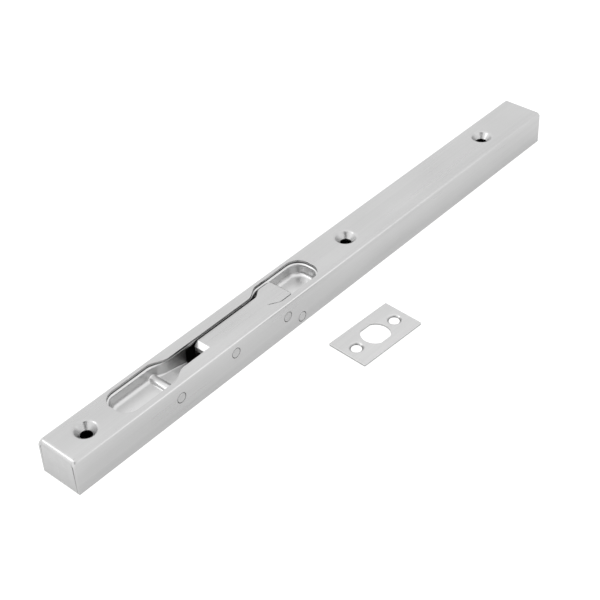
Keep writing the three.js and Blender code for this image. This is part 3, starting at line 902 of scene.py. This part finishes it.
def make_links():
    for name, side in (("link_near", -1), ("link_far", 1)):
        low, high = box_mm(name)
        faces = rounded(high.y, low.y, 0.15)
        bores = rounded(high.y, low.y, 0.12, hole=True)
        contours = [(slot_outline(crank_x, link_x, crank_z, 1.9), faces)]
        contours += [(circle(x, crank_z, DRIVE_BORE, 28), bores) for x in (crank_x, link_x)]
        plate(name + "_plate", "link", PLATED, contours, upright, name)


def make_yoke():
    low, high = box_mm("drive_yoke")
    rim = 1.6
    uneven = 0.21  # how far the real linkage leads or lags a constant rate, in crank lengths
    sway = uneven * math.dist((crank_x, crank_z), (pivot_x, pivot_z))
    half_window = DRIVE_PIN + sway + CLEAR
    frame_right = link_x + half_window + rim
    tail_top = draw_low.z - CLEAR
    tail_bottom = tail_top - rim
    outline = [
        (low.x, low.z), (frame_right, low.z), (frame_right, tail_bottom), (high.x, tail_bottom),
        (high.x, tail_top), (frame_right, tail_top), (frame_right, high.z), (low.x, high.z),
    ]
    window = block_outline(link_x - half_window, low.z + rim, link_x + half_window, high.z - rim, 0.5)
    contours = [
        (softened(outline, 0.6, 4), rounded(high.y, low.y, 0.15)),
        (window, rounded(high.y, low.y, 0.12, hole=True)),
    ]
    plate("yoke_plate", "bolt_slide", PLATED, contours, upright, "drive_yoke")


def make_drawbar():
    top, bottom = draw_high.z, draw_low.z
    strip = block_outline(draw_low.x, -draw_high.y, draw_high.x, draw_high.y, 1.0)
    contours = [(strip, rounded(top, bottom, 0.25))]
    hole = rounded(top, bottom, 0.2, hole=True)
    for x in SCREW_PLACES[1:]:
        contours.append((slot_outline(x - throw, x, 0, SCREW_HOLE + 0.6), hole))
    for name in ("bolt_rivet_rear", "bolt_rivet_front", "spring_rivet"):
        contours.append((circle(middle_mm(name).x, 0, DRIVE_BORE, 28), hole))
    plate("drawbar_strip", "bolt_slide", PLATED, contours, lying, "drawbar")


# ---- bolt: a round bar with flats, cut away behind to sit on the drawbar


def make_bolt():
    shell = Shell()
    chamfer = 1.0
    soft = 0.25
    seat_end = draw_high.x + CLEAR
    seat_z = draw_high.z + CLEAR - bolt_z
    section = flatted_circle(0, 0, bolt_radius, bolt_flat, 20)
    section = [(v, u) for u, v in section][::-1]

    def ring(x, inset=0.0, cut=False):
        points = []
        for y, z in grown(section, -inset):
            radius = math.hypot(y, z)
            scale = min(1, (bolt_radius - inset) / radius)
            height = max(z * scale, seat_z + inset) if cut else z * scale
            points.append((x, y * scale, bolt_z + height))
        return shell.loop(points)

    rear_chamfer = 0.3
    rings = [ring(bolt_low.x, rear_chamfer, True), ring(bolt_low.x + rear_chamfer, 0, True)]
    rings += [ring(seat_end, 0, True), ring(seat_end)]
    # the chamfered nose, as distances back from its end and in from the side
    for back, inset in ((chamfer + soft, 0), (chamfer - 0.1, 0.14), (soft, 0.8), (0.06, 1.02), (0, 1.25)):
        rings.append(ring(bolt_high.x - back, inset))
    lowest = [i for i, (_, z) in enumerate(section) if z < seat_z]
    seat_left, seat_right = lowest[0] - 1, lowest[-1]
    shell.band(rings[0], rings[1])
    flat_strips = set(range(seat_left + 1, seat_right))
    shell.band(rings[1], rings[2], skip=flat_strips)
    shell.bands(rings[2:])
    shell.cap(rings[0])
    shell.cap(rings[-1])
    rear = rings[1][seat_left + 1 : seat_right + 1]
    front = rings[2][seat_left + 1 : seat_right + 1]
    bores = []
    for name in ("bolt_rivet_rear", "bolt_rivet_front"):
        top = box_mm(name)[1].z + CLEAR
        start = bolt_z + seat_z
        outline = circle(middle_mm(name).x, 0, DRIVE_BORE, 28)
        first, last = add_edge(shell, outline, [(0.1, start), (0, start + 0.1), (0, top)], lying)
        shell.cap(last)
        bores.append(first)
    shell.cap(rear + front[::-1], *bores)
    shell.make("bolt_bar", "bolt_slide", *BOLT, "bolt")


def make_slide_rivets():
    for name in ("bolt_rivet_rear", "bolt_rivet_front"):
        low, high = box_mm(name)
        profile = [(0, low.z), (DRIVE_PIN, low.z), (DRIVE_PIN, high.z), (0, high.z)]
        turned(name + "_turned", "bolt_slide", PIN, "z", profile, name)
    low, high = box_mm("spring_rivet")
    head = high.x - middle_mm("spring_rivet").x
    under_head = high.z - 0.8
    dome = [(head * math.cos(a), under_head + 0.2 + 0.6 * math.sin(a)) for a in quarter_turns(6)]
    profile = [(0, low.z), (DRIVE_PIN, low.z), (DRIVE_PIN, under_head), (head, under_head)] + dome[:-1]
    turned("spring_rivet_turned", "bolt_slide", PIN, "z", profile + [(0, high.z)], "spring_rivet", soft=0.1)


# ---- bolt guide: an angle bracket under the face, with one hole for the bolt and the drawbar


def make_bolt_guide():
    shell = Shell()
    low, high = box_mm("bolt_guide")
    bend, thin = 1.4, 1.1
    outer = [(high.x, high.z)] + arc(low.x + bend, high.z - bend, bend, 90, 180, 6) + [(low.x, low.z)]
    inner = [(low.x + thin, low.z)] + arc(low.x + bend, high.z - bend, bend - thin, 180, 90, 6)
    section = outer + inner + [(high.x, high.z - thin)]
    rings = [shell.loop([(x, y, z) for x, z in section]) for y in (low.y, high.y)]
    face_out, face_in = 7, 9  # where in the section the upright leg's two faces are
    shell.band(*rings, skip={face_out, face_in})
    for ring in rings:
        shell.cap(ring)
    radius, flat = BOLT_HOLE
    lean = math.degrees(math.acos(flat / radius))
    bar_half = draw_high.y + CLEAR
    bar_top, bar_bottom = draw_high.z + CLEAR, draw_low.z - CLEAR
    hole = [(bar_half, bar_bottom), (bar_half, bar_top), (flat, bar_top)]
    hole += [(y, bolt_z + z) for y, z in arc(0, 0, radius, lean, 180 - lean, 20)]
    hole += [(-flat, bar_top), (-bar_half, bar_top), (-bar_half, bar_bottom)]
    below = math.degrees(math.asin((bolt_z - bar_bottom) / radius))
    hole += [(y, bolt_z + z) for y, z in arc(0, 0, radius, 180 + below, 360 - below, 20)]
    profile = rounded(low.x + thin, low.x, 0.1, hole=True, steps=2)
    first, last = add_edge(shell, hole, profile, endways)
    for index, edge in ((face_out, last), (face_in, first)):
        corners = [rings[0][index], rings[1][index], rings[1][index + 1], rings[0][index + 1]]
        shell.cap(corners, edge)
    shell.make("guide_bracket", "housing", *PAN, "bolt_guide")


# ---- friction spring: a bowed leaf riveted to the drawbar


def make_friction_spring():
    low, high = box_mm("friction_spring")
    rivet_x = middle_mm("spring_rivet").x
    leaf = 0.5
    foot_end = rivet_x + 4
    crown_x = (foot_end + high.x) / 2
    rise = high.z - leaf - low.z
    steps = 44  # along the leaf

    def sprung(x, y, z):
        away = min(abs(x - crown_x) / (crown_x - foot_end), 1)
        return (x, y, low.z + rise * (0.5 + 0.5 * math.cos(math.pi * away)) + z)

    run = [low.x + (high.x - low.x) * i / steps for i in range(steps + 1)]
    side = high.y
    corner = 0.6
    ends = [low.x, low.x + corner, high.x - corner, high.x]
    run = [x for x in run if ends[1] < x < ends[2]]
    lower = [(ends[0], corner - side), (ends[1], -side)] + [(x, -side) for x in run]
    lower += [(ends[2], -side), (ends[3], corner - side)]
    outline = lower + [(x, -y) for x, y in lower[::-1]]
    contours = [
        (outline, rounded(leaf, 0, 0.1, steps=2)),
        (circle(rivet_x, 0, DRIVE_BORE, 24), rounded(leaf, 0, 0.08, hole=True, steps=2)),
    ]
    plate("spring_leaf", "bolt_slide", SPRING, contours, sprung, "friction_spring")


# ---- strike plate

STRIKE_LENGTH = 35.0
STRIKE_WIDTH = 19.7
STRIKE_TURN = math.radians(-3)
STRIKE_HOLE = (6.4, 5.7)  # radius and half the distance between its flats
STRIKE_SCREW = 2.15  # radius of a screw hole
STRIKE_SINK = 3.5  # and of its countersink
STRIKE_SCREW_REACH = 11.7  # from the plate's middle


def make_strike():
    low, high = box_mm("strike_plate")
    centre = (low + high) / 2
    thick = high.z - low.z
    turn = Matrix.Rotation(STRIKE_TURN, 2)

    def place(x, y, z):
        spot = turn @ Vector((x, y))
        return (centre.x + spot.x, centre.y + spot.y, low.z + z)

    # a countersink: a rolled lip, a steep cone and a small rim below
    sink = STRIKE_SINK - STRIKE_SCREW
    sunk = [
        (sink + 0.12, thick), (sink - 0.1, thick - 0.03), (sink - 0.33, thick - 0.12),
        (sink - 0.5, thick - 0.25), (0.2, 0.06), (0.16, 0.02), (0.18, 0.0),
    ]
    outline = block_outline(-STRIKE_LENGTH / 2, -STRIKE_WIDTH / 2, STRIKE_LENGTH / 2, STRIKE_WIDTH / 2, 0.5)
    contours = [(outline, rounded(thick, 0, 0.14))]
    contours.append((flatted_circle(0, 0, *STRIKE_HOLE), rounded(thick, 0, 0.14, hole=True)))
    for side in (-1, 1):
        contours.append((circle(side * STRIKE_SCREW_REACH, 0, STRIKE_SCREW, 40), sunk))
    plate("strike_sheet_plate", "strike", STRIKE, contours, place, "strike_plate")


make_case()
make_pan()
make_lever()
make_pins()
make_links()
make_yoke()
make_drawbar()
make_bolt()
make_slide_rivets()
make_bolt_guide()
make_friction_spring()
make_strike()


# ---- floor, light and camera

scene = bpy.context.scene
scene.view_settings.view_transform = "Standard"
scene.view_settings.look = "None"


def matt_material(name, grey, glow):
    """A matt grey that may glow white."""
    material = bpy.data.materials.new(name)
    material.use_nodes = True
    shader = material.node_tree.nodes["Principled BSDF"]
    shader.inputs["Base Color"].default_value = (grey, grey, grey, 1)
    shader.inputs["Roughness"].default_value = 0.9
    shader.inputs["Specular IOR Level"].default_value = 0.0
    shader.inputs["Emission Color"].default_value = (1, 1, 1, 1)
    shader.inputs["Emission Strength"].default_value = glow
    return material


def make_floor():
    """A pale table, and a near-black patch inside the case's footprint: painted shade where the case keeps
    the light out.
    """
    reach = 3000.0
    far = [(-reach, -reach), (reach, -reach), (reach, reach), (-reach, reach)]
    inset = 0.4
    x, y = half_length - inset, half_width - inset
    footprint = [(-x, -y), (x, -y), (x, y), (-x, y)]
    corners = [(u * MM, v * MM, case_bottom * MM) for u, v in far + footprint]
    table = [(i, (i + 1) % 4, 4 + (i + 1) % 4, 4 + i) for i in range(4)]
    for name, faces, material in (
        ("table", table, matt_material("table_white", 0.30, 0.82)),
        # This near-black patch is painted shade standing in for the shade under the case.
        ("table_in_shade", [(4, 5, 6, 7)], matt_material("table_shade", 0.03, 0.0)),
    ):
        mesh = bpy.data.meshes.new(name)
        mesh.from_pydata(corners, [], faces)
        mesh.materials.append(material)
        surface = bpy.data.objects.new(name, mesh)
        scene.collection.objects.link(surface)


def make_world():
    """A white studio that is a little dimmer towards +X."""
    world = bpy.data.worlds.new("studio")
    scene.world = world
    world.use_nodes = True
    tree = world.node_tree
    back = tree.nodes["Background"]
    back.inputs["Color"].default_value = (1, 1, 1, 1)
    way = node(tree, "ShaderNodeTexCoord")
    split = node(tree, "ShaderNodeSeparateXYZ")
    strongest, weakest = 1.48, 1.16
    dimming = node(tree, "ShaderNodeMapRange")
    dimming.inputs["From Min"].default_value = -1
    dimming.inputs["To Min"].default_value = strongest
    dimming.inputs["To Max"].default_value = weakest
    tree.links.new(way.outputs["Generated"], split.inputs["Vector"])
    tree.links.new(split.outputs["X"], dimming.inputs["Value"])
    tree.links.new(dimming.outputs["Result"], back.inputs["Strength"])


def add_card(name, aim, direction, distance, size):
    """A black card that steel facing it reflects as a dark patch."""
    half = size / 2
    corners = [(-half, -half, 0), (half, -half, 0), (half, half, 0), (-half, half, 0)]
    mesh = bpy.data.meshes.new(name)
    mesh.from_pydata(corners, [], [(0, 1, 2, 3)])
    mesh.materials.append(matt_material(name, 0.01, 0.0))
    card = bpy.data.objects.new(name, mesh)
    card.location = Vector(aim) + Vector(direction).normalized() * distance
    card.rotation_euler = (Vector(aim) - card.location).to_track_quat("-Z", "Y").to_euler()
    scene.collection.objects.link(card)


def add_panel(name, aim, direction, distance, size, radiance):
    """A rectangular light seen from one place in a given direction."""
    data = bpy.data.lights.new(name, "AREA")
    data.shape = "RECTANGLE"
    data.size, data.size_y = size
    data.energy = radiance * math.pi * size[0] * size[1]
    lamp = bpy.data.objects.new(name, data)
    lamp.location = Vector(aim) + Vector(direction).normalized() * distance
    lamp.rotation_euler = (Vector(aim) - lamp.location).to_track_quat("-Z", "Y").to_euler()
    scene.collection.objects.link(lamp)


def make_camera():
    """A camera above the case's rear end, on its near side, looking down along the bolt."""
    place = Vector((-0.3468, -0.3087, 0.3533))
    aim = Vector((-0.02965, -0.01292, 0.0))
    roll = math.radians(-3.06)
    data = bpy.data.cameras.new("camera")
    data.sensor_width = 36
    data.lens = 82.5
    data.clip_end = 20
    camera = bpy.data.objects.new("camera", data)
    turn = (aim - place).to_track_quat("-Z", "Y").to_matrix() @ Matrix.Rotation(roll, 3, "Z")
    camera.matrix_world = Matrix.Translation(place) @ turn.to_4x4()
    scene.collection.objects.link(camera)
    scene.camera = camera


make_floor()
make_world()
# The first panel makes the streaks on the lever's nose and the rear fold, the second the one along the near
# fold. The card makes the dark wedges in the countersinks.
add_panel("nose_light", (-0.09, 0, 0), (-0.525, 0.529, 0.665), 1.0, (0.32, 0.32), 2.8)
add_panel("side_light", (-0.08, 0, 0), (0.52, -0.83, 0.12), 0.7, (0.3, 0.2), 1.2)
add_card("dark_card", (-0.05, 0, 0), (-0.566, -0.529, 0.631), 1.3, 0.66)
make_camera()
